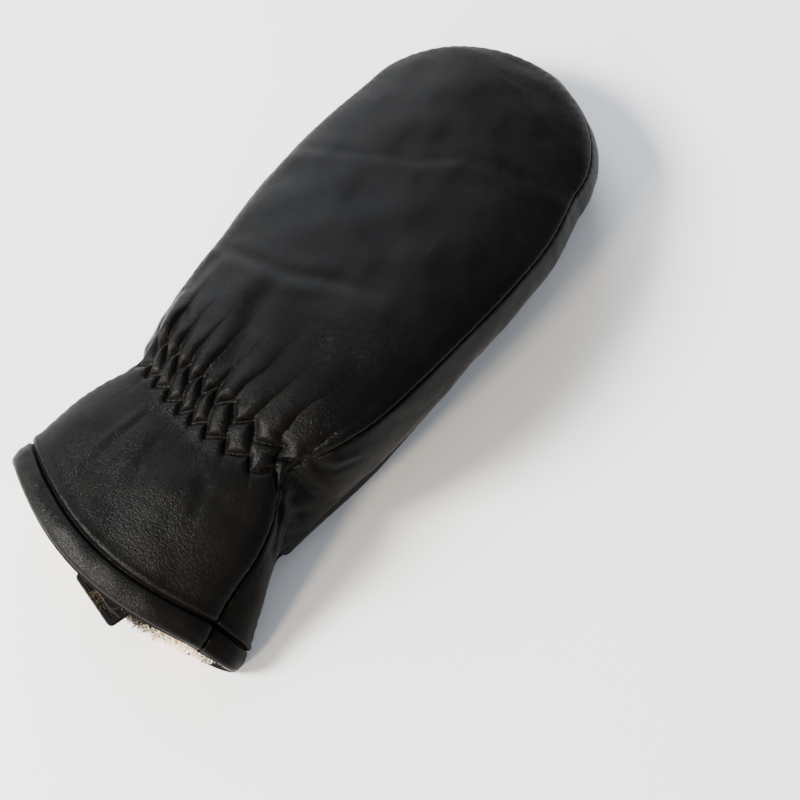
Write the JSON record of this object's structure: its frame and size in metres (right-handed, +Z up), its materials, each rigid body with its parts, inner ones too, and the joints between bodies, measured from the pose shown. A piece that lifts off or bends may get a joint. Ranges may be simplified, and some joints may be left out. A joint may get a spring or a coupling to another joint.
{
  "type": "sheepskin mitten",
  "caption": "Black leather mitten for the left hand, lined with cream sheepskin, gathered with zigzag stitching at the wrist, lying palm down",
  "frame": {"origin": "under the middle of the mitten's bounding box, on the surface that it lies on", "axes": "+Z up from the surface, +Y from the cuff to the fingertips, +X towards the thumb's side"},
  "size_m": [0.1194, 0.2903, 0.053],
  "materials": {
    "black_leather": "soft nappa leather, satin, near black",
    "sheepskin_fur": "cream to tan shorn sheepskin pile",
    "tab_webbing": "plain black tape",
    "hook_patch": "black hooks with tan wool caught in them"
  },
  "bodies": {
    "root": {"back_panel": "black_leather", "side_strip": "black_leather", "palm_panel": "black_leather", "thumb_outer": "black_leather", "thumb_inner": "black_leather", "lining_back": "sheepskin_fur", "lining_palm": "sheepskin_fur", "lining_thumb": "sheepskin_fur", "cuff_tab": "tab_webbing", "tab_patch": "hook_patch"}
  },
  "joints": []
}
